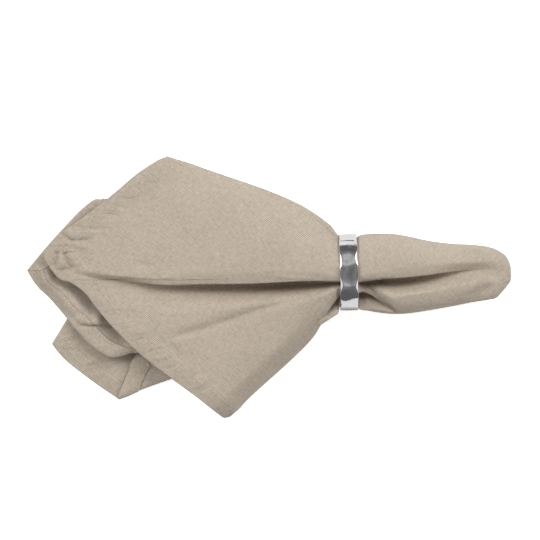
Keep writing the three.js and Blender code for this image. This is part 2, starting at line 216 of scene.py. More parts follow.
# The layers in the order of one walk around the cloth: share of the stack's height, way across, y of both
# sides in the ring, stretch of the tail's round section in degrees, swell of both sides beside the ring and
# how late it comes on the lower one, columns of the mesh along the two hems and where they crowd, how far
# the hem leans down by its y, the two ways of the threads, and the hems from the sides to the corner.
EVEN = ((0, 0), (1, 1))
NO_LEAN = ((0, 0), (1, 0))
HIDDEN_THREADS = ((0.7, 0.714), (0.7, -0.714))
LAYERS = [
    dict(name="top", level=1.0, runs=1, waist=(19.4, -13.1), turn=(12, 166), bulge=(7, 4.4), late=5,
         columns=(62, 92), crowd=(((0, 0), (0.5, 0.7), (1, 1)), ((0, 0), (0.42, 0.22), (1, 1))),
         threads=((-0.791, -0.612), (0.751, -0.660)),
         upper=[(-113.6, 71), (-116, 70.3), (-121, 67.4), (-129, 62.2), (-144.5, 49.2), (-157.5, 38.8),
                (-168, 31.2), (-177.8, 24.1), (-189.4, 12.6)],
         lower=[(-189.4, 12.6), (-187.7, 7), (-185.3, 3.4), (-182.5, -0.5), (-177.4, -5), (-172.9, -6.1),
                (-169.4, -8.2), (-162.2, -13.8), (-157.9, -19.5), (-147.6, -32), (-130.2, -49.4),
                (-108.5, -66.4), (-92, -78.6), (-77.8, -90)]),
    dict(name="second", level=0.82, runs=-1, waist=(15.5, -12.9), turn=(174, 174), bulge=(5, 4.2), late=5,
         columns=(18, 54), crowd=(EVEN, ((0, 0), (0.2, 0.235), (0.58, 0.305), (0.84, 0.55), (1, 1))),
         hem_lean=((-60, 0.2), (-33, 0.2), (-24, 0.6), (-6, 0.7), (8, 0.2), (45, 0.2)),
         threads=((0.686, 0.728), (0.665, -0.748)),
         upper=[(-153, 45), (-157.2, 45.3), (-161.5, 42.3), (-178.5, 25.4), (-199.7, 1.1)],
         lower=[(-199.7, 1.1), (-196.4, -4.8), (-192.6, -9.9), (-187.1, -14.8), (-173.7, -29.8),
                (-164.3, -40.6), (-153.3, -50), (-145.1, -53.2), (-141.1, -51.7), (-132, -50),
                (-104, -66), (-73.4, -89.4)]),
    dict(name="third", level=0.69, runs=1, waist=(15, -18.7), turn=(179, 179), bulge=(3, 0.8),
         columns=(3, 4), threads=HIDDEN_THREADS,
         upper=[(-153, 43), (-160, 0)], lower=[(-160, 0), (-90, -73)]),
    dict(name="fourth", level=0.56, runs=-1, waist=(13.5, -18.7), turn=(184, 184), bulge=(3, 0.8),
         columns=(3, 4), threads=HIDDEN_THREADS,
         upper=[(-126, 51), (-148, -8)], lower=[(-148, -8), (-90, -72)]),
    dict(name="fifth", level=0.43, runs=1, waist=(13, -18.6), turn=(190, 190), bulge=(3, 0),
         columns=(3, 4), threads=HIDDEN_THREADS,
         upper=[(-126, 51), (-142, -10)], lower=[(-142, -10), (-94, -67)]),
    dict(name="bottom", level=0.0, runs=-1, waist=(15.5, -18.6), turn=(222, 312), bulge=(4, 0),
         columns=(6, 7), threads=HIDDEN_THREADS,
         upper=[(-134, 38), (-146, -8)], lower=[(-146, -8), (-94, -66)]),
    dict(name="low", level=0.15, runs=1, waist=(15.5, -12.5), turn=(340, 340), bulge=(2, 9), late=1,
         columns=(20, 20), threads=((0.619, 0.786), (0.786, -0.619)),
         upper=[(-134, 38), (-184.2, -44.7)],
         lower=[(-184.2, -44.7), (-180, -50.2), (-160.4, -66.8), (-143.5, -78.5)]),
    dict(name="band", level=0.3, runs=-1, waist=(19, -12.5), turn=(356, 356), bulge=(4, 9), late=1,
         columns=(16, 14), threads=((-0.374, -0.928), (0.928, -0.374)),
         upper=[(-111.6, 71), (-130.5, -49.5)],
         lower=[(-130.5, -49.5), (-134.9, -56.9), (-136.4, -62.2), (-138.8, -67.3), (-143.1, -77.6)]),
]

# How the layers turn, swell and lie over each other, in millimetres or as shares.
FINE_STEPS = 60
FOLD_STEPS = 4
LEAST_FOLD_ROUND = 1
WAIST_FOLD_ROUND = 1.6
FAN_FOLD_ROUND = 2.8
HEM_FOLD_ROUND = 0.9
HEM_FOLD_SHARE = 0.16
SWELL_PEAK_AT = 1 / 3
SWELL_SCALE = 27 / 4
OUTER_SWELL_POWER = 1.2
FAN_FOLD_FULL_AT = 0.25
PLEATS_FULL_AT = 8
PLEATS_GONE_AT = 30
PLEATS_POWER = 0.75
TAIL_ROWS = 44
TAIL_ROWS_CROWD = 1.5
FAN_ROWS = 78
FAN_ROWS_CROWD_RING = 1.2
HEM_ROWS = (13.5, 12.2, 11.2, 10.7, 10.3, 9.8, STITCH_INSET, 8.6, 7.6, 6.2, 4.8, 3.4, 2.2, 1.2, 0.5, 0)
VALLEY_PULL = 0.72
VALLEY_PULL_REACH = 13
VALLEY_PULL_FROM_HEM = 14
VALLEY_PULL_FADE = 26
MOUTH_SWELL = ((-18.7, -13, 0, 21), (-5, 1, 0, 2.6))
MOUTH_LENGTH = (9, 2)
FOLD_LIFT = 0.8
FOLD_LIFT_LENGTH = 40
FOLD_LIFT_FROM = 13.5
FOLD_LIFT_OVER = 4
UNDER_GAP = 2.2
UNDER_REACH = (-1.5, -0.7, 0, 0.7, 1.5)
TAIL_FOLD_UP = 4.2
TAIL_FOLD_UP_FROM = 3
TAIL_FOLD_UP_LENGTH = 5
TAIL_FOLD_WAIST = 13
LEAST_SLANT = 0.35
FAR_FROM_HEM = 60.0


def marks_along(points):
    """Distances along a line of points from its first one."""
    return np.concatenate([[0], np.cumsum(np.linalg.norm(np.diff(points, axis=0), axis=1))])


def even_points(points, count, crowd=EVEN):
    """Points along a smooth line through the given ones, at even steps or crowded where that is asked."""
    points = np.array(points, float)
    marks = marks_along(points)
    fine = np.linspace(0, marks[-1], FINE_STEPS * len(points))
    dense = np.stack([smooth(fine, marks, points[:, k]) for k in (0, 1)], 1)
    lengths = marks_along(dense)
    counted, reached = np.array(crowd, float).T
    wanted = lengths[-1] * np.interp(np.linspace(0, 1, count), counted, reached)
    return np.stack([np.interp(wanted, lengths, dense[:, k]) for k in (0, 1)], 1)


def unit(vectors):
    return vectors / np.maximum(np.linalg.norm(vectors, axis=-1, keepdims=True), 1e-9)


def layer_columns(layer, number):
    """Columns of the mesh on one layer, from its upper side to its lower one, or back where it runs so."""
    up_count, low_count = layer["columns"]
    up_crowd, low_crowd = layer.get("crowd", (EVEN, EVEN))
    upper = even_points(layer["upper"], up_count + 1, up_crowd)
    lower = even_points(layer["lower"], low_count + 1, low_crowd)
    hem = np.concatenate([upper, lower[1:]])
    way = unit(np.concatenate([np.gradient(upper, axis=0)[:-1], np.gradient(lower, axis=0)]))
    along = marks_along(hem)
    across = along / along[-1]
    count = len(hem)
    made = dict(
        level=np.full(count, layer["level"]),
        on_top=np.full(count, 1.0 if layer["level"] == 1 else 0.0),
        waist=mix(layer["waist"][0], layer["waist"][1], across),
        hem=hem,
        way=way,
        swell=np.interp(across, (0, 0.5, 1), (-layer["bulge"][0], 0, layer["bulge"][1])),
        swell_power=np.where(across > 0.5, layer.get("late", 2.0), 1.0),
        outward=np.zeros(count),
        height=np.zeros(count),
        layer=np.full(count, number),
    )
    if layer["runs"] < 0:
        made = {name: values[::-1] for name, values in made.items()}
    made["turn"] = np.linspace(layer["turn"][0], layer["turn"][1], count)
    made["shared"] = (np.arange(count) > 0) & (layer["turn"][0] == layer["turn"][1])
    return made


def fold_columns(start, end, side, next_turn, number):
    """The rounded turn from the end of one layer to the start of the next one in the walk."""
    share = np.arange(1, FOLD_STEPS + 1) / (FOLD_STEPS + 1)
    swing = (1 - np.cos(np.pi * share)) / 2
    made = {}
    for name in ("level", "on_top", "waist", "swell", "swell_power"):
        made[name] = mix(start[name][-1], end[name][0], swing)
    for name in ("hem", "way"):
        made[name] = mix(start[name][-1], end[name][0], swing[:, None])
    made["turn"] = mix(start["turn"][-1], next_turn, share)
    made["outward"] = side * np.sin(np.pi * share)
    made["height"] = np.full(FOLD_STEPS, abs(start["level"][-1] - end["level"][0]))
    made["layer"] = np.full(FOLD_STEPS, number)
    made["shared"] = np.zeros(FOLD_STEPS, bool)
    return made


layer_parts = [layer_columns(layer, number) for number, layer in enumerate(LAYERS)]
walk = []
for number, part in enumerate(layer_parts):
    following = layer_parts[(number + 1) % len(LAYERS)]
    full_turn = 360 if number == len(LAYERS) - 1 else 0
    lower_side = -1 if LAYERS[number]["runs"] > 0 else 1
    walk += [part, fold_columns(part, following, lower_side, following["turn"][0] + full_turn, number)]
columns = {name: np.concatenate([part[name] for part in walk]) for name in walk[0]}
COLUMN_COUNT = len(columns["level"])
on_top = columns["on_top"]
is_top = on_top == 1
top_two = columns["layer"] <= 1


def pull_to_valley(x, y, share):
    """Draws the mesh's columns together at the valley, where the cloth bends most."""
    lip = at_station(valley_table, x)["lip"]
    off = y - lip
    return y - share * VALLEY_PULL * off * np.exp(-((off / VALLEY_PULL_REACH) ** 2))


def column_height(x, y, level=columns["level"]):
    top, stack, under = heights(x, y)
    return mix(under, mix(stack, top, on_top), level)


def fold_reach(x, y, cap):
    _, stack, under = heights(x, y)
    reach = np.minimum(np.maximum(columns["height"] * (stack - under) / 2, LEAST_FOLD_ROUND), cap)
    return np.abs(columns["outward"]) * reach


# The lower folds of the upper layers are lifted at the ring, and the top ones move up beside it in the tail.
lower_lift = FOLD_LIFT * np.clip((-columns["waist"] - FOLD_LIFT_FROM) / FOLD_LIFT_OVER, 0, 1)
lower_lift *= columns["level"] > 0.5
lower_top = np.clip(-columns["waist"] / TAIL_FOLD_WAIST, 0, 1) * top_two


def pleated_row(x):
    """The pleated stack, as it is in the ring."""
    section = at_station(section_table, x)
    waist = columns["waist"] + TAIL_FOLD_UP * lower_top * ease((x - TAIL_FOLD_UP_FROM) / TAIL_FOLD_UP_LENGTH)
    flat = section["middle"] + section["half"] * waist / WAIST_RADIUS
    y = flat + np.sign(columns["outward"]) * fold_reach(x, flat, WAIST_FOLD_ROUND)
    y = np.where(is_top, pull_to_valley(x, y, 1), y)
    return y, column_height(x, y, mix(columns["level"], 1, lower_lift))


def pouch_row(x):
    """The round pouch, as it is at the end of the tail."""
    section = at_station(section_table, x)
    angle = np.radians(columns["turn"])
    y = section["middle"] + section["half"] * np.cos(angle)
    upper = np.sin(angle) >= 0
    y = np.where(upper, pull_to_valley(x, y, 1), y)
    top, _, under = heights(x, y, crown_share(x, y, 0))
    return y, np.where(upper, top, under)


def tail_row(x):
    """The stack turns into the pouch on the way, and the top layer stays over the others."""
    x = np.full(COLUMN_COUNT, float(x))
    pleats = ease((PLEATS_GONE_AT - x) / (PLEATS_GONE_AT - PLEATS_FULL_AT)) ** PLEATS_POWER
    pouch, pleated = np.array(pouch_row(x)), np.array(pleated_row(x))
    y, z = mix(pouch, pleated, pleats)
    top, _, _ = heights(x, y, crown_share(x, y, pleats))
    for aside in UNDER_REACH:
        near = y + aside * pleats
        beside, _, _ = heights(x, near, crown_share(x, near, pleats))
        z = np.minimum(z, beside - UNDER_GAP * pleats * (1 - on_top))
    return np.stack([x, y, np.where(is_top, top, z)], 1)


fan_start = np.stack([np.full(COLUMN_COUNT, -WAIST_HALF), columns["waist"]], 1)
fan_way = unit(columns["hem"] - fan_start)
fan_length = np.linalg.norm(columns["hem"] - fan_start, axis=1)
fan_slant = np.abs(fan_way[:, 0] * columns["way"][:, 1] - fan_way[:, 1] * columns["way"][:, 0])
hem_step = fan_length * np.maximum(fan_slant, LEAST_SLANT)
on_layer = [columns["layer"] == number for number in range(len(LAYERS))]
hem_lean = np.zeros(COLUMN_COUNT)
for number, layer in enumerate(LAYERS):
    lean_y, lean_share = np.array(layer.get("hem_lean", NO_LEAN), float).T
    hem_lean = np.where(on_layer[number], np.interp(columns["hem"][:, 1], lean_y, lean_share), hem_lean)
hem_plan = np.sqrt(1 - hem_lean**2)


def fan_row(share):
    """A layer spreads from the ring to its hem, and its sides swell out on the way."""
    place = mix(fan_start, columns["hem"], share[:, None])
    power = columns["swell_power"]
    power = np.where(share > SWELL_PEAK_AT, np.minimum(power, OUTER_SWELL_POWER), power)
    swell = columns["swell"] * (SWELL_SCALE * share * (1 - share) ** 2) ** power
    cap = mix(WAIST_FOLD_ROUND, FAN_FOLD_ROUND, np.minimum(1, share / FAN_FOLD_FULL_AT))
    cap = mix(HEM_FOLD_ROUND, cap, ease((1 - share) / HEM_FOLD_SHARE))
    reach = fold_reach(place[:, 0], place[:, 1], cap) * -np.sign(columns["outward"])
    x = place[:, 0] - fan_way[:, 1] * (swell + reach)
    y = place[:, 1] + fan_way[:, 0] * (swell + reach)
    mouth_length = np.where(columns["waist"] > 0, *MOUTH_LENGTH)
    mouth = ease(share * fan_length / mouth_length) * (1 - share) ** 2
    y += mouth * np.interp(columns["waist"], *MOUTH_SWELL)
    pull = ease(((1 - share) * hem_step - VALLEY_PULL_FROM_HEM) / VALLEY_PULL_FADE)
    y = np.where(is_top, pull_to_valley(x, y, pull), y)
    lift = lower_lift * (1 - ease(share * fan_length / FOLD_LIFT_LENGTH))
    return np.stack([x, y, column_height(x, y, mix(columns["level"], 1, lift))], 1)


tail_steps = np.arange(1, TAIL_ROWS + 1) / TAIL_ROWS
tail_shares = mix(tail_steps**TAIL_ROWS_CROWD, 1 - (1 - tail_steps) ** TAIL_ROWS_CROWD, tail_steps)
tail_places = TIP[0] - (TIP[0] - WAIST_HALF) * tail_shares
rows = [tail_row(x) for x in tail_places] + [tail_row(0)]
hem_distance = [np.full(COLUMN_COUNT, FAR_FROM_HEM) for _ in rows]
last_plain = 1 - HEM_ROWS[0] * hem_plan / hem_step
for step in range(FAN_ROWS):
    share = last_plain * (step / FAN_ROWS) ** FAN_ROWS_CROWD_RING
    rows.append(fan_row(share))
    hem_distance.append((1 - share) * hem_step + HEM_ROWS[0] * (1 - hem_plan))
for inset in HEM_ROWS:
    rows.append(fan_row(1 - inset * hem_plan / hem_step))
    hem_distance.append(np.full(COLUMN_COUNT, float(inset)))
middle = np.array(rows)
hem_distance = np.array(hem_distance)
ROW_COUNT = len(rows)

# A hem that leans hangs down from the end of the plain cloth.
middle[..., 2] -= hem_lean * np.maximum(HEM_ROWS[0] - hem_distance, 0)
middle[..., 2] = np.maximum(middle[..., 2], TABLE_TO_MIDDLE)

# The lip of the valley leans over its floor.
_, lean = valley_shape(middle[..., 0], middle[..., 1])
middle[..., 1] -= lean * on_top

# The fold at the lower right of the top layer rolls down, and a little in the tail too: the share of its
# height that it drops, and the width of the roll, both by x.
ROLL_SHARE = ((-42, -16, 6, 9, 24, 32), (0.38, 0, 0, 0.24, 0.24, 0))
ROLL_WIDTH = ((-16, 6), (10.5, 7))
fold_first = sum(LAYERS[0]["columns"])
fold_last = fold_first + FOLD_STEPS + 1
lower_edge = middle[:, [fold_first, fold_last], :2].mean(axis=1)
from_fold = np.linalg.norm(middle[..., :2] - lower_edge[:, None], axis=2)
roll_share = np.interp(lower_edge[:, :1], *ROLL_SHARE)
roll_width = np.interp(lower_edge[:, :1], *ROLL_WIDTH)
roll = roll_share * np.clip(1 - from_fold / roll_width, 0, 1) ** 2
middle[..., 2] -= np.where(top_two, roll * middle[..., 2], 0)

# Creases and soft ridges that show in the cloth: the layer, the rise or fall in the middle, the widths on the
# left and on the right of the crease's line, the share of the line over which each end fades, and the line.
CREASE_STEPS = 24
CREASE_COLUMNS = ("layer", "rise", "left", "right", "ends", "line")
CREASES = [
    ("top", -2.8, 3.4, 1.1, 0.15, [(-114, -42), (-101, -39.3), (-91.8, -36.6), (-69.2, -29), (-46.7, -21.4),
        (-27.9, -15.7), (-16.6, -12.2), (-5, -8.6)]),
    ("top", 0.45, 1.1, 1.1, 0.2, [(-48, -2.4), (-40, -3.3), (-30, -3.6), (-20, -4.6)]),
    ("top", -1.8, 0.8, 1.5, 0.1, [(-179, 25.2), (-174.2, 21.9), (-169.4, 18.8)]),
    ("top", -0.9, 1.3, 2.6, 0.2, [(-169.6, 18.2), (-164.7, 19.8), (-159.5, 17.6)]),
    ("top", -0.9, 1.1, 1.1, 0.2, [(-187, 16), (-183, 14.8)]),
    ("top", -2.6, 0.9, 2.6, 0.2, [(-179.8, 14.6), (-180.2, 8.6), (-180.8, 5.6), (-184.4, 3)]),
    ("top", -2.7, 1.1, 2.6, 0.2, [(-175.4, 14), (-174.4, 9), (-171.8, 4.8), (-168.6, 2)]),
    ("top", 1.5, 3, 2, 0.2, [(-171, 14), (-169.6, 8), (-166, 3.4)]),
    ("top", 1.3, 2.2, 1.6, 0.2, [(-177.6, 11), (-177, 6), (-179, 1)]),
    ("top", -1.7, 3, 5, 0.2, [(-165, 16), (-163.5, 8), (-160, 3)]),
    ("top", -0.9, 1.2, 2.4, 0.2, [(-133, 6), (-126, 5.2), (-119, 3.4)]),
    ("top", -0.8, 1.2, 2.4, 0.2, [(-133, 46.2), (-128, 47.4), (-122.5, 46.8)]),
    ("top", -1, 3, 1.6, 0.2, [(-109.5, -44.5), (-106.5, -50), (-101.5, -55)]),
    ("top", -0.9, 2, 1.4, 0.2, [(-120, -38.5), (-116, -43), (-112.5, -46.5)]),
    ("top", -1, 1.6, 5, 0.2, [(7, -13), (12.3, -16.4), (20, -20.2), (28, -22.6), (40, -23.6)]),
    ("top", 1.5, 1.1, 2.6, 0.2, [(63, 17.2), (72, 15.2), (80, 14.7), (88, 15.2)]),
    ("top", -2.5, 2, 4, 0.2, [(73, -15), (81, -11.4), (88, -7)]),
    ("second", 2, 9, 0.45, 0.06, [(-191, -1.6), (-187.6, -6), (-181, -13.6), (-173, -22.8), (-165.6, -31),
        (-163.4, -32), (-154, -32.6), (-142, -32)]),
    ("second", -1.7, 0.5, 2.2, 0.1, [(-166, -31), (-163.4, -32), (-154, -33), (-142, -33)]),
    ("second", -3.6, 8, 8, 0.2, [(-143, 31), (-148, 35.4), (-170, 16), (-186, -2), (-188, -5)]),
    ("second", -8, 8, 9, 0.12, [(-186, 4), (-178, -2), (-168, -6), (-157, -15), (-146, -27), (-132, -43)]),
    ("second", 2.4, 5, 0.8, 0.2, [(-154, -19.5), (-156.4, -24.5), (-157, -28), (-152, -31.5)]),
    ("second", -0.6, 1.4, 1.4, 0.2, [(-192, -9.5), (-187, -7.2)]),
    ("third", 4.2, 4.4, 6, 0.12, [(7, -17), (12, -20), (20, -23.4), (28, -25.4)]),
    ("third", 4.6, 8, 3.6, 0.22, [(-6.8, -20), (-13, -25.4), (-21, -34)]),
]


def crease_rise(x, y, crease):
    """Rise or fall of one crease over places: full along its line, faded at its ends."""
    line = even_points(crease["line"], CREASE_STEPS)
    steps = np.diff(line, axis=0)
    best = np.full(x.shape, np.inf)
    signed = np.zeros(x.shape)
    share = np.zeros(x.shape)
    for k, step in enumerate(steps):
        off_x, off_y = x - line[k, 0], y - line[k, 1]
        t = np.clip((off_x * step[0] + off_y * step[1]) / (step @ step), 0, 1)
        away = np.hypot(off_x - t * step[0], off_y - t * step[1])
        nearer = away < best
        best = np.where(nearer, away, best)
        signed = np.where(nearer, step[0] * off_y - step[1] * off_x, signed)
        share = np.where(nearer, (k + t) / len(steps), share)
    width = np.where(signed > 0, crease["left"], crease["right"])
    ends = ease(share / crease["ends"]) * ease((1 - share) / crease["ends"])
    return crease["rise"] * ends * np.exp(-((best / width) ** 2))


layer_names = [layer["name"] for layer in LAYERS]
for row in CREASES:
    crease = dict(zip(CREASE_COLUMNS, row))
    mine = on_layer[layer_names.index(crease["layer"])]
    part = middle[:, mine]
    middle[:, mine, 2] += crease_rise(part[..., 0], part[..., 1], crease)
middle[..., 2] = np.maximum(middle[..., 2], TABLE_TO_MIDDLE)

# Washed linen never lies quite flat: broad waves on both sides of the ring, and small crumples that grow
# towards the hem.
BROAD_WAVE = 0.5
BROAD_WAVE_LENGTH = 34
WAVES_FROM = 7
WAVES_FULL_OVER = 14
CRUMPLE = 0.22
CRUMPLE_LENGTH = 9
CRUMPLE_LEAST = 0.45
CRUMPLE_HEM_REACH = 22


def wave_field(places, length, seed):
    flat = places.reshape(-1, 3) / length
    return np.array([noise.noise((p[0], p[1], seed)) for p in flat]).reshape(places.shape[:-1])


broad = BROAD_WAVE * wave_field(middle, BROAD_WAVE_LENGTH, seed=2.5)
small = CRUMPLE * wave_field(middle, CRUMPLE_LENGTH, seed=8.5)
outside_ring = ease((np.abs(middle[..., 0]) - WAVES_FROM) / WAVES_FULL_OVER)
near_hem = np.exp(-hem_distance / CRUMPLE_HEM_REACH)
middle[..., 2] += outside_ring * on_top * (broad + (CRUMPLE_LEAST + near_hem) * small)


def mesh_quads():
    """Quads of the middle surface as rows of grid numbers, with the columns that share a point drawn in."""
    grid = np.arange(ROW_COUNT * COLUMN_COUNT).reshape(ROW_COUNT, COLUMN_COUNT)
    owner = np.arange(COLUMN_COUNT)
    for k in range(1, COLUMN_COUNT):
        if columns["shared"][k]:
            owner[k] = owner[k - 1]
    for row in np.flatnonzero(tail_places >= PLEATS_GONE_AT):
        grid[row] = grid[row][owner]
    after = np.roll(np.arange(COLUMN_COUNT), -1)
    quads = np.stack([grid[:-1], grid[1:], grid[1:][:, after], grid[:-1][:, after]], -1)
    return grid, quads.reshape(-1, 4)


grid, quads = mesh_quads()
quad_layer = np.tile(columns["layer"], ROW_COUNT - 1)
quad_row = np.repeat(np.arange(ROW_COUNT - 1), COLUMN_COUNT)
kept = ~((quads[:, 0] == quads[:, 3]) & (quads[:, 1] == quads[:, 2]))
quad_column = np.tile(np.arange(COLUMN_COUNT), ROW_COUNT - 1)[kept]
quads, quad_layer, quad_row = quads[kept], quad_layer[kept], quad_row[kept]


def surface_normals(points):
    normals = np.zeros(points.shape)
    a, b, c, d = (points[quads[:, k]] for k in range(4))
    facing = np.cross(c - a, d - b)
    for k in range(4):
        np.add.at(normals, quads[:, k], facing)
    return unit(normals)


flat_middle = middle.reshape(-1, 3)
normals = surface_normals(flat_middle)

# The turned hem is three cloths thick and stands up on the inner face. Its stitches draw a groove into both
# faces and leave small puckers beside it.
PUCKER = 1.3
PUCKER_LENGTH = 5.2
PUCKER_REACH = 5
GROOVE_DEPTH = 0.22
GROOVE_WIDTH = 0.9
HEM_STEP_HALF = 0.25
HEM_RISE_OUTSIDE = 0.12
EDGE_ROUND = 0.55
EDGE_ROUND_WIDTH = 0.5
distance = hem_distance.reshape(-1)
hem_along = marks_along(columns["hem"])
pucker_wave = np.array([noise.noise((s / PUCKER_LENGTH, 3.7, 0.4)) for s in hem_along])
pucker_wave = np.tile(pucker_wave, (ROW_COUNT, 1)).reshape(-1)
from_stitches = distance - STITCH_INSET
pucker_fade = np.exp(-((from_stitches / PUCKER_REACH) ** 2))
groove = GROOVE_DEPTH * np.exp(-((from_stitches / GROOVE_WIDTH) ** 2))
turned = ease((HEM_WIDTH + HEM_STEP_HALF - distance) / (2 * HEM_STEP_HALF))
edge_round = 1 - EDGE_ROUND * np.exp(-((distance / EDGE_ROUND_WIDTH) ** 2))
half_cloth = CLOTH_THICKNESS / 2
outer_reach = (half_cloth + HEM_RISE_OUTSIDE * turned) * edge_round - groove
inner_reach = (half_cloth + HEM_RISE * turned) * edge_round - groove
sway = (PUCKER * pucker_wave * pucker_fade)[:, None]
outer_points = flat_middle + normals * (sway + outer_reach[:, None])
inner_points = flat_middle + normals * (sway - inner_reach[:, None])

tip_normal = np.array([1.0, 0, 0])
tip_outer = np.array(TIP) + tip_normal * half_cloth
tip_inner = np.array(TIP) - tip_normal * half_cloth
inner_start = len(flat_middle)
tip_at = 2 * inner_start
points = np.concatenate([outer_points, inner_points, [tip_outer, tip_inner]])

first_row, hem_row = grid[0], grid[-1]
cap = [(tip_at, a, b) for a, b in zip(first_row, np.roll(first_row, -1)) if a != b]
faces = [tuple(dict.fromkeys(quad)) for quad in quads.tolist()]
faces += [tuple(inner_start + k for k in reversed(face)) for face in list(faces)]
faces += cap + [(tip_at + 1, inner_start + b, inner_start + a) for _, a, b in cap]
faces += [(a, inner_start + a, inner_start + b, b) for a, b in zip(hem_row, np.roll(hem_row, -1))]


def put(name, data):
    """A new object in the scene."""
    made = bpy.data.objects.new(name, data)
    bpy.context.scene.collection.objects.link(made)
    return made


cloth_mesh = bpy.data.meshes.new("napkin_cloth")
place = np.array([RING_MIDDLE.x, RING_MIDDLE.y, 0])
cloth_mesh.from_pydata((points * MM + place).tolist(), [], [tuple(int(k) for k in face) for face in faces])
cloth_mesh.validate()
cloth_mesh.update()
cloth = put("napkin_cloth", cloth_mesh)
cloth_mesh.shade_smooth()
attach(cloth, "root")
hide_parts("napkin")

# Two maps follow the cloth, in centimetres. One counts its threads, from a layer's corner along both hems and
# aslant around the tail. The other gives the place along the hem and the distance from it, below zero on the
# inner face.
CM = 10
steps = np.diff(middle, axis=1, append=middle[:, :1])
from_lip = middle[..., 1] - at_station(valley_table, middle[..., 0])["lip"]
steps[..., 2] *= 1 - on_top * np.exp(-((from_lip / VALLEY_PULL_REACH) ** 2))
around = np.linalg.norm(steps, axis=2)
around = np.concatenate([np.zeros((ROW_COUNT, 1)), np.cumsum(around, axis=1)], axis=1)
around -= around[:, [LAYERS[0]["columns"][0]]]
MITRED_LAYER = 1
OFF_THE_MITRE = 400
corner = np.array([layer["lower"][0] for layer in LAYERS], float)
away_from_mitre = np.where(np.arange(len(LAYERS)) == MITRED_LAYER, 0, OFF_THE_MITRE)
to_threads = np.array([np.linalg.inv(np.array(layer["threads"], float).T) for layer in LAYERS])


def for_faces(of_quads, of_hem):
    """Values for all faces: the outer and the inner ones, those at the tip, and those of the hem's edge."""
    of_tip = np.zeros(2 * len(cap), int)
    return np.concatenate([of_quads, of_quads, of_tip, of_hem])


face_layer = for_faces(quad_layer, columns["layer"])
face_row = for_faces(quad_row, np.full(COLUMN_COUNT, ROW_COUNT))
face_column = for_faces(quad_column, np.arange(COLUMN_COUNT))
face_inner = np.repeat([0, 1, 0, 1, 1], [len(quads), len(quads), len(cap), len(cap), COLUMN_COUNT])
face_size = np.array([len(face) for face in faces])
loop_point = np.array([k for face in faces for k in face])
loop_face = np.repeat(np.arange(len(faces)), face_size)
loop_grid = np.where(loop_point >= tip_at, 0, loop_point % inner_start)
loop_column = loop_grid % COLUMN_COUNT
plan = points[loop_point, :2]
in_tail = face_row[loop_face] <= TAIL_ROWS
wraps = (face_column[loop_face] == COLUMN_COUNT - 1) & (loop_column == 0)
from_corner = plan - corner[face_layer[loop_face]]
fan_threads = np.einsum("kij,kj->ki", to_threads[face_layer[loop_face]], from_corner)
fan_threads[:, 0] += away_from_mitre[face_layer[loop_face]]
girth = around[loop_grid // COLUMN_COUNT, np.where(wraps, COLUMN_COUNT, loop_column)]
tail_threads = np.stack([girth - plan[:, 0], -girth - plan[:, 0]], 1) / math.sqrt(2)
thread_map = np.where(in_tail[:, None], tail_threads, fan_threads) / CM
loop_along = np.where(wraps, hem_along[-1] + 1, hem_along[loop_column])
loop_inset = distance[loop_grid] * np.where(face_inner[loop_face] == 1, -1, 1)
hem_map = np.stack([loop_along, loop_inset], 1) / CM
for map_name, values in (("threads", thread_map), ("hem", hem_map)):
    layer_map = cloth_mesh.uv_layers.new(name=map_name)
    layer_map.data.foreach_set("uv", values.astype(np.float32).ravel())


def add_node(tree, kind, **values):
    """A shader node with the given settings; a name that is an input's sets that input, or links to it."""
    made = tree.nodes.new("ShaderNode" + kind)
    for name, value in values.items():
        key = int(name[1:]) if name[0] == "_" else name.title()
        if isinstance(key, str) and key not in made.inputs:
            setattr(made, name, value)
        elif isinstance(value, bpy.types.NodeSocket):
            tree.links.new(value, made.inputs[key])
        else:
            made.inputs[key].default_value = value
    return made


def figure(tree, operation, first, second=0.0, third=0.0):
    """One step of reckoning with values in a node tree."""
    return add_node(tree, "Math", operation=operation, _0=first, _1=second, _2=third).outputs[0]


def ramp(tree, value, low, high, start=0.0, end=1.0, bend="LINEAR"):
    """Runs from the start to the end while a value runs from low to high."""
    return add_node(tree, "MapRange", interpolation_type=bend, _0=value, _1=low, _2=high,
                    _3=start, _4=end).outputs[0]


def band(tree, value, middle, width):
    """1 where a value is at the middle of a band, and 0 outside its width."""
    off = figure(tree, "ABSOLUTE", figure(tree, "SUBTRACT", value, middle))
    return ramp(tree, off, 0.0, width, 1.0, 0.0, "SMOOTHSTEP")


def mottle(tree, place, scale, detail, **more):
    """Cloudy noise over a place: first its value, then its colour."""
    return add_node(tree, "TexNoise", vector=place, scale=scale, detail=detail, **more).outputs


def blend(tree, share, first, second):
    """A colour between two others."""
    return add_node(tree, "Mix", data_type="RGBA", _0=share, _6=first, _7=second).outputs[2]


def new_look(name, **inputs):
    """A material, its node tree and its shader with the given plain inputs."""
    look = bpy.data.materials.new(name)
    look.use_nodes = True
    shader = look.node_tree.nodes["Principled BSDF"]
    for input_name, value in inputs.items():
        shader.inputs[input_name.replace("_", " ")].default_value = value
    return look, look.node_tree, shader


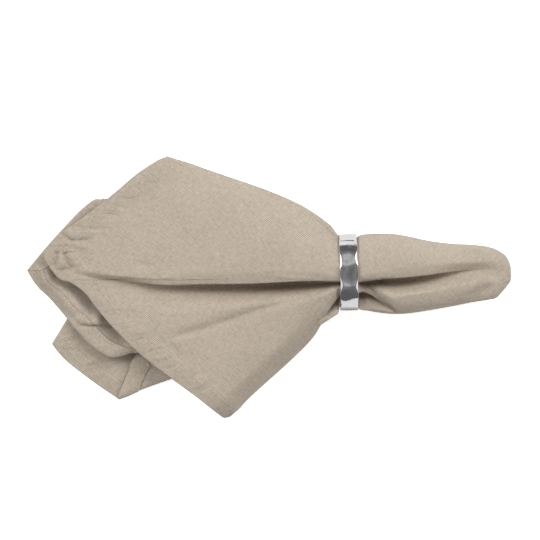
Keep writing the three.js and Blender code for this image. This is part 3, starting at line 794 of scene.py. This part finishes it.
# Plain weave: one thread over and one under, each thread with its own tone and its thick and thin places, and
# painted shade that darkens the gaps between the threads and lightens their crowns.
THREADS_PER_CM = 9.6
THREAD_SWAY = 0.05
THREAD_SWAY_SCALE = 1.3
SLUBS_PER_CM = 3.4
THREAD_OVER = 0.3
SLUB_HEIGHT = 0.5
weave = bpy.data.node_groups.new("plain_weave", "ShaderNodeTree")
weave.interface.new_socket("Threads", in_out="INPUT", socket_type="NodeSocketVector")
for name in ("Shade", "Height"):
    weave.interface.new_socket(name, in_out="OUTPUT", socket_type="NodeSocketFloat")
weave_in = weave.nodes.new("NodeGroupInput")
weave_out = weave.nodes.new("NodeGroupOutput")
sway = mottle(weave, weave_in.outputs["Threads"], THREAD_SWAY_SCALE, 1.0)[1]
swayed = add_node(weave, "VectorMath", operation="MULTIPLY_ADD", _0=sway,
                  _1=(THREAD_SWAY, THREAD_SWAY, 0), _2=weave_in.outputs["Threads"])
split = add_node(weave, "SeparateXYZ", _0=swayed.outputs[0])
thread_waves = []
thread_slubs = []
for along_axis, across_axis, seed in ((0, 1, 3.1), (1, 0, 8.7)):
    across_count = figure(weave, "MULTIPLY", split.outputs[across_axis], THREADS_PER_CM)
    thread_waves.append(figure(weave, "SINE", figure(weave, "MULTIPLY", across_count, math.pi)))
    stretched = add_node(weave, "CombineXYZ", _0=across_count, _2=seed,
                         _1=figure(weave, "MULTIPLY", split.outputs[along_axis], SLUBS_PER_CM))
    thread_slubs.append(mottle(weave, stretched.outputs[0], 1.0, 1.0)[0])
over = figure(weave, "MULTIPLY", thread_waves[0], thread_waves[1])
warp_top = figure(weave, "MULTIPLY_ADD", over, THREAD_OVER, figure(weave, "ABSOLUTE", thread_waves[0]))
weft_top = figure(weave, "MULTIPLY_ADD", over, -THREAD_OVER, figure(weave, "ABSOLUTE", thread_waves[1]))
weave_height = figure(weave, "MAXIMUM", warp_top, weft_top)
# colour of the weave: each thread's own tone from its slubs, times painted shade that is light on the
# thread's crown and dark in the gaps
warp_tone_and_gap_shade = figure(weave, "MULTIPLY", warp_top, thread_slubs[0])
thread_tone_and_gap_shade = figure(weave, "MULTIPLY_ADD", weft_top, thread_slubs[1], warp_tone_and_gap_shade)
weave.links.new(thread_tone_and_gap_shade, weave_out.inputs["Shade"])
slubbed = figure(weave, "MULTIPLY_ADD", thread_tone_and_gap_shade, SLUB_HEIGHT, weave_height)
weave.links.new(slubbed, weave_out.inputs["Height"])

LINEN_DARK = (0.330, 0.279, 0.223, 1)
LINEN_LIGHT = (0.640, 0.550, 0.447, 1)
LINEN_SHEEN = (0.95, 0.9, 0.82, 1)
LINEN_FLECK_AND_CREASE_SHADE = (0.1, 0.075, 0.05, 1)
PAINTED_CREASE_SHADE_STRENGTH = 0.42
TURNED_HEM_SHADE = -0.07
linen, tree, linen_shader = new_look("washed_linen", Roughness=0.92, Specular_IOR_Level=0.2,
                                     Sheen_Weight=0.12, Sheen_Roughness=0.5, Sheen_Tint=LINEN_SHEEN)
threads = add_node(tree, "UVMap", uv_map="threads").outputs[0]
hem_place = add_node(tree, "UVMap", uv_map="hem").outputs[0]
along_hem, inset, _ = add_node(tree, "SeparateXYZ", _0=hem_place).outputs
from_edge = figure(tree, "ABSOLUTE", inset)
placed_weave = add_node(tree, "Group", node_tree=weave, _0=threads)
solid_place = add_node(tree, "TexCoord").outputs["Object"]
cloud = mottle(tree, solid_place, 45.0, 3.0)[0]
speck = mottle(tree, solid_place, 650.0, 0.0)[0]
flecks = ramp(tree, speck, 0.84, 0.87, 0.0, 0.5)
in_turned_hem = ramp(tree, from_edge, STITCH_INSET / CM, HEM_WIDTH / CM, TURNED_HEM_SHADE, 0.0)
# the weave's own tone and its painted gap shade, a little darker in the turned hem
woven_tone_and_gap_shade = figure(tree, "ADD", placed_weave.outputs["Shade"], in_turned_hem)
tone = figure(tree, "MULTIPLY_ADD", cloud, 0.3, woven_tone_and_gap_shade)
linen_colour = blend(tree, ramp(tree, tone, 0.2, 1.4), LINEN_DARK, LINEN_LIGHT)

# Painted shade: the folded edge of the hem and the mitre at the second layer's corner get fine dark lines on
# the inner face, painted where their creases fall into shade. The same dark colour also marks the real flecks
# in the cloth.
LINE_WIDTH = 0.05
LINE_OUTSIDE_HEM = 0.02
inner_hem = -HEM_WIDTH / CM
first_way, second_way, _ = add_node(tree, "SeparateXYZ", _0=threads).outputs
# painted shade along the hem's folded edge on the inner face
hem_fold_painted_shade = band(tree, inset, inner_hem - LINE_OUTSIDE_HEM, LINE_WIDTH)
in_hem = ramp(tree, inset, inner_hem, inner_hem + LINE_OUTSIDE_HEM)
inner_face = figure(tree, "LESS_THAN", inset, 0.0)
# painted shade along the mitre, where the two hems meet on the inner face
aslant = band(tree, figure(tree, "SUBTRACT", first_way, second_way), 0.0, LINE_WIDTH)
mitre_painted_shade = figure(tree, "MULTIPLY", aslant, figure(tree, "MULTIPLY", in_hem, inner_face))
painted_crease_shade = figure(tree, "MAXIMUM", hem_fold_painted_shade, mitre_painted_shade)
# the painted crease shade and the cloth's real dark flecks both darken the linen towards one dark colour
flecks_and_crease_shade = figure(tree, "MAXIMUM", figure(tree, "MULTIPLY", painted_crease_shade, PAINTED_CREASE_SHADE_STRENGTH), flecks)
tree.links.new(blend(tree, flecks_and_crease_shade, linen_colour, LINEN_FLECK_AND_CREASE_SHADE), linen_shader.inputs["Base Color"])

# Puckers that the stitches draw beside the hem, and small crumples from washing.
PUCKERS_PER_CM = 3.2
PUCKER_CROSSINGS_PER_CM = 0.9
CRUMPLE_HEIGHT = 0.6 * MM
WEAVE_HEIGHT = 0.12 * MM
pucker_place = add_node(tree, "CombineXYZ",
                        _0=figure(tree, "MULTIPLY", along_hem, PUCKERS_PER_CM),
                        _1=figure(tree, "MULTIPLY", inset, PUCKER_CROSSINGS_PER_CM))
puckers = mottle(tree, pucker_place.outputs[0], 1.0, 1.5)[0]
pucker_height = figure(tree, "MULTIPLY", puckers, band(tree, from_edge, 0.75, 1.0))
crumple = mottle(tree, solid_place, 130.0, 4.0, roughness=0.6)[0]
rough_height = figure(tree, "MULTIPLY_ADD", crumple, 0.5, figure(tree, "MULTIPLY", pucker_height, 2.0))
crumpled = add_node(tree, "Bump", strength=1.0, distance=CRUMPLE_HEIGHT, height=rough_height)
woven = add_node(tree, "Bump", strength=0.5, distance=WEAVE_HEIGHT, normal=crumpled.outputs[0],
                 height=placed_weave.outputs["Height"])
tree.links.new(woven.outputs[0], linen_shader.inputs["Normal"])
cloth_mesh.materials.append(linen)

# Hem stitching: one row of fine beige sewing thread through the hem, seen as short stitches on both faces.
# Each stitch is a small rounded bar that lies in the groove it has drawn.
STITCH_PITCH = 2.1
STITCH_LENGTH = 1.1
STITCH_RADIUS = 0.2
STITCH_SEAT = 0.9
STITCH_SIDES = 6
STITCH_RINGS = ((-0.5, 0.45), (-0.36, 1.0), (0.36, 1.0), (0.5, 0.45))
stitch_row = ROW_COUNT - len(HEM_ROWS) + HEM_ROWS.index(STITCH_INSET)
row_numbers = stitch_row * COLUMN_COUNT + np.arange(COLUMN_COUNT)


def stitch_line(surface, facing):
    """Middles, ways and facings of the stitches along the hem on one face of the cloth."""
    line, up = surface[row_numbers], facing[row_numbers]
    marks = marks_along(line)
    wanted = np.arange(STITCH_PITCH, marks[-1] - STITCH_PITCH, STITCH_PITCH)

    def sample(values, at):
        return np.stack([np.interp(at, marks, values[:, k]) for k in range(3)], 1)

    way = unit(sample(line, wanted + STITCH_LENGTH / 2) - sample(line, wanted - STITCH_LENGTH / 2))
    return sample(line, wanted), way, unit(sample(up, wanted))


def stitch_bars(middles, ways, ups):
    """Points and faces of the bars at the given places."""
    across = unit(np.cross(ways, ups))
    places, bars = [], []
    for spot, way, side, up in zip(middles + ups * STITCH_RADIUS * STITCH_SEAT, ways, across, ups):
        first = len(places)
        for along_bar, width in STITCH_RINGS:
            for k in range(STITCH_SIDES):
                angle = 2 * math.pi * k / STITCH_SIDES
                swing = side * math.cos(angle) + up * math.sin(angle)
                places.append(spot + way * STITCH_LENGTH * along_bar + swing * STITCH_RADIUS * width)
        for ring_number in range(len(STITCH_RINGS) - 1):
            low, high = first + ring_number * STITCH_SIDES, first + (ring_number + 1) * STITCH_SIDES
            for k in range(STITCH_SIDES):
                after = (k + 1) % STITCH_SIDES
                bars.append((low + k, low + after, high + after, high + k))
        last = first + (len(STITCH_RINGS) - 1) * STITCH_SIDES
        bars.append(tuple(first + k for k in reversed(range(STITCH_SIDES))))
        bars.append(tuple(last + k for k in range(STITCH_SIDES)))
    return np.array(places), bars


outer_line = stitch_line(outer_points, normals)
inner_line = stitch_line(inner_points, -normals)
stitch_points, stitch_faces = stitch_bars(*[np.concatenate(pair) for pair in zip(outer_line, inner_line)])
stitch_mesh = bpy.data.meshes.new("hem_stitching")
stitch_mesh.from_pydata((stitch_points * MM + place).tolist(), [], stitch_faces)
stitch_mesh.update()
stitch_mesh.shade_smooth()
stitches = put("hem_stitching", stitch_mesh)
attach(stitches, "root")

THREAD_DARK = (0.52, 0.45, 0.36, 1)
THREAD_LIGHT = (0.80, 0.72, 0.61, 1)
sewing_thread, tree, thread_shader = new_look("sewing_thread", Roughness=0.7)
twist = mottle(tree, add_node(tree, "TexCoord").outputs["Object"], 900.0, 1.0)[0]
tree.links.new(blend(tree, twist, THREAD_DARK, THREAD_LIGHT), thread_shader.inputs["Base Color"])
stitch_mesh.materials.append(sewing_thread)

# Ring: a flat band of silver-coloured metal, bent round, closed, hammered all around and polished, with a
# low ridge across it and flats filed along its rims. It is slipped over the gathered cloth, which fills it,
# and it stands on the table with its axis along x.
RING_BLANK_RADIUS = 23.85 * MM
RING_WALL = 1 * MM
RING_WIDTH = 11 * MM
RING_TURN = math.radians(1.3)
RING_SEGMENTS = 264
RING_CUTS = 31
RIM_ROUND = 0.3 * MM
BAND_CROWN = 0.988
FACE_STRIKES = 26
FACE_STRIKE_DEPTH = 0.24 * MM
FACE_STRIKE_REACH = 5 * MM
FACE_STRIKE_POINT = 0.9 * MM
FACE_STRIKE_SIDE = 0.3 * RING_WIDTH
FACE_STRIKE_UNEVEN = 0.1
RIDGE_ANGLE = 0.98
RIDGE_HEIGHT = 0.34 * MM
RIDGE_REACH = 0.9 * MM
RIM_FLATS = 9
RIM_FLAT_UNEVEN = 0.06
RIM_FLAT_SLANT = 0.36
RIM_FLAT_WIDTH = 1.4 * MM
RIM_FIRST_FLATS = ((-1, 0.37), (1, 0.36))
bpy.ops.object.select_all(action="DESELECT")
bpy.ops.mesh.primitive_cylinder_add(vertices=RING_SEGMENTS, radius=RING_BLANK_RADIUS, depth=RING_WIDTH,
                                    end_fill_type="NOTHING", rotation=(0, math.pi / 2, 0))
ring = bpy.context.object
ring.name = "hammered_ring"
bpy.ops.object.transform_apply(location=True, rotation=True, scale=True)


def select_points(wanted):
    """Selects the points of the ring whose place fits, in edit mode."""
    bpy.ops.mesh.select_all(action="DESELECT")
    bpy.ops.object.mode_set(mode="OBJECT")
    for point in ring.data.vertices:
        point.select = wanted(point.co)
    bpy.ops.object.mode_set(mode="EDIT")


bpy.ops.object.mode_set(mode="EDIT")
bpy.ops.mesh.select_mode(type="EDGE")
bpy.ops.mesh.select_all(action="DESELECT")
bpy.ops.object.mode_set(mode="OBJECT")
for edge in ring.data.edges:
    ends = [ring.data.vertices[k].co for k in edge.vertices]
    edge.select = abs(ends[1].x - ends[0].x) > RING_WIDTH / 2
bpy.ops.object.mode_set(mode="EDIT")
bpy.ops.mesh.subdivide(number_cuts=RING_CUTS)
bpy.ops.mesh.select_mode(type="VERT")
select_points(lambda spot: abs(spot.x) > 0.49 * RING_WIDTH)
bpy.ops.transform.resize(value=(1, BAND_CROWN, BAND_CROWN), center_override=(0, 0, 0),
                         use_proportional_edit=True, proportional_edit_falloff="SMOOTH",
                         proportional_size=RING_WIDTH / 2)


def strike(outward, depth, reach):
    """Drives the selected points in towards the axis, with the metal around them."""
    bpy.ops.transform.translate(value=outward * -depth, use_proportional_edit=True,
                                proportional_edit_falloff="SMOOTH", proportional_size=reach)


for mark in range(FACE_STRIKES):
    angle = 2 * math.pi * mark / FACE_STRIKES + FACE_STRIKE_UNEVEN * math.sin(2.3 * mark)
    outward = Vector((0, math.sin(angle), math.cos(angle)))
    aside = FACE_STRIKE_SIDE * math.sin(2.6 * mark + 0.7)
    struck = outward * RING_BLANK_RADIUS + Vector((aside, 0, 0))
    select_points(lambda spot: (spot - struck).length < FACE_STRIKE_POINT)
    strike(outward, FACE_STRIKE_DEPTH, FACE_STRIKE_REACH)
select_points(lambda spot: abs(math.atan2(spot.y, spot.z) - RIDGE_ANGLE) < math.pi / RING_SEGMENTS)
strike(Vector((0, math.sin(RIDGE_ANGLE), math.cos(RIDGE_ANGLE))), -RIDGE_HEIGHT, RIDGE_REACH)


def file_flat(side, angle):
    """Takes a slanting flat off the rim: what stands over its plane is pressed onto it."""
    outward = Vector((0, math.sin(angle), math.cos(angle)))
    along = Vector((0, math.cos(angle), -math.sin(angle)))
    sideways = Vector((side, 0, 0))
    facing = outward * math.cos(RIM_FLAT_SLANT) + sideways * math.sin(RIM_FLAT_SLANT)
    start = outward * RING_BLANK_RADIUS * BAND_CROWN + sideways * (RING_WIDTH / 2 - RIM_FLAT_WIDTH)
    select_points(lambda spot: (spot - start).dot(facing) > 0)
    bpy.ops.transform.resize(value=(1, 1, 0), use_proportional_edit=False,
                             orient_type="GLOBAL", orient_matrix_type="GLOBAL",
                             orient_matrix=Matrix((along, facing.cross(along), facing)).transposed(),
                             constraint_axis=(False, False, True), center_override=start)


for side, first in RIM_FIRST_FLATS:
    for mark in range(RIM_FLATS):
        uneven = RIM_FLAT_UNEVEN * math.sin(2.9 * mark + side)
        file_flat(side, first + 2 * math.pi * mark / RIM_FLATS + uneven)
bpy.ops.object.mode_set(mode="OBJECT")
ring.rotation_euler = (0, 0, RING_TURN)
ring.location = RING_MIDDLE
bpy.ops.object.transform_apply(location=True, rotation=True, scale=True)
wall = ring.modifiers.new("wall", "SOLIDIFY")
wall.thickness = RING_WALL
wall.offset = -1
rim = ring.modifiers.new("rim", "BEVEL")
rim.width = RIM_ROUND
rim.segments = 4
rim.limit_method = "ANGLE"
rim.angle_limit = math.radians(50)
for modifier in ("wall", "rim"):
    bpy.ops.object.modifier_apply(modifier=modifier)
bpy.ops.object.shade_smooth_by_angle(angle=math.radians(60))
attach(ring, "root")
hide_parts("ring")

POLISHED_SILVER = (0.86, 0.865, 0.875, 1)
DULL_SILVER = (0.70, 0.705, 0.715, 1)
POLISHED_ROUGHNESS = 0.07
DULL_ROUGHNESS = 0.16
silver, tree, silver_shader = new_look("hammered_silver", Metallic=1.0)
wear = mottle(tree, add_node(tree, "TexCoord").outputs["Object"], 420.0, 4.0)[0]
tree.links.new(blend(tree, wear, POLISHED_SILVER, DULL_SILVER), silver_shader.inputs["Base Color"])
silver_rough = ramp(tree, wear, 0.3, 0.75, POLISHED_ROUGHNESS, DULL_ROUGHNESS)
tree.links.new(silver_rough, silver_shader.inputs["Roughness"])
ring.data.materials.clear()
ring.data.materials.append(silver)

# Table, light and camera: a white table top and soft lights from the left and the right, seen from above.
# The picture is 540 by 540 and shows 0.62 mm in each of its points, at a height of 12 mm over the table.
PICTURE_WIDTH = 540 * 0.62 * MM
PICTURE_MIDDLE = (RING_MIDDLE.x - 48.36 * MM, RING_MIDDLE.y + 1.24 * MM)
CAMERA_HEIGHT = 2.4
SCALE_HEIGHT = 0.012
SENSOR = 36
TABLE_SIZE = 12
TABLE_DROP = 0.0005
TABLE_WHITE = (0.9, 0.9, 0.9, 1)
TABLE_GLOW = 0.75
scene = bpy.context.scene
camera_data = bpy.data.cameras.new("photo_camera")
camera_data.sensor_width = SENSOR
camera_data.lens = SENSOR * (CAMERA_HEIGHT - SCALE_HEIGHT) / PICTURE_WIDTH
camera = put("photo_camera", camera_data)
camera.location = (*PICTURE_MIDDLE, CAMERA_HEIGHT)
scene.camera = camera

bpy.ops.object.select_all(action="DESELECT")
bpy.ops.mesh.primitive_plane_add(size=TABLE_SIZE, location=(0, 0, -TABLE_DROP))
table = bpy.context.object
table.name = "white_table"
table_look, tree, table_shader = new_look("white_table_top", Base_Color=TABLE_WHITE, Roughness=0.7,
                                          Emission_Color=(1, 1, 1, 1))
seen = add_node(tree, "LightPath").outputs["Is Camera Ray"]
table_glow = figure(tree, "MULTIPLY", seen, TABLE_GLOW)
tree.links.new(table_glow, table_shader.inputs["Emission Strength"])
table.data.materials.append(table_look)

LIGHT_SIZE = 1.5
LIGHTS = (("right_light", (1.5, 1.3, 2.1), 38), ("left_light", (-1.6, 0.95, 2.1), 33))
for name, spot, power in LIGHTS:
    lamp = bpy.data.lights.new(name, "AREA")
    lamp.size = LIGHT_SIZE
    lamp.energy = power
    light = put(name, lamp)
    light.location = spot
    light.rotation_euler = (-Vector(spot)).to_track_quat("-Z", "Y").to_euler()

# The room is dim, with a grey strip along its ceiling, a pale patch on both slopes of the strip, and bright
# panels beside it on the left and on the right.
ROOM_DIM = 0.12
ROOM_STRIP = 0.1
ROOM_PANEL = 0.85
ROOM_PATCH = 0.34
world = bpy.data.worlds.new("studio")
scene.world = world
world.use_nodes = True
tree = world.node_tree
way_out = add_node(tree, "TexCoord").outputs["Generated"]
along_x, along_y, upwards = add_node(tree, "SeparateXYZ", _0=way_out).outputs
sideways = figure(tree, "ABSOLUTE", along_x)
lengthways = figure(tree, "ABSOLUTE", along_y)
panel_side = ramp(tree, sideways, 0.3, 0.6, bend="SMOOTHSTEP")
panels = figure(tree, "MULTIPLY", panel_side, ramp(tree, lengthways, 0.05, 0.3, bend="SMOOTHSTEP"))
overhead = ramp(tree, sideways, 0.24, 0.04, bend="SMOOTHSTEP")
patches = figure(tree, "MULTIPLY", band(tree, upwards, 0.8, 0.16), overhead)
strip = figure(tree, "MULTIPLY", ramp(tree, upwards, 0.3, 0.65, bend="SMOOTHSTEP"), overhead)
room_light = figure(tree, "MULTIPLY_ADD", strip, ROOM_STRIP, ROOM_DIM)
room_light = figure(tree, "MULTIPLY_ADD", panels, ROOM_PANEL, room_light)
room_light = figure(tree, "MULTIPLY_ADD", patches, ROOM_PATCH, room_light)
tree.links.new(room_light, tree.nodes["Background"].inputs["Strength"])
tree.nodes["Background"].inputs["Color"].default_value = (1, 1, 1, 1)
scene.view_settings.view_transform = "Standard"
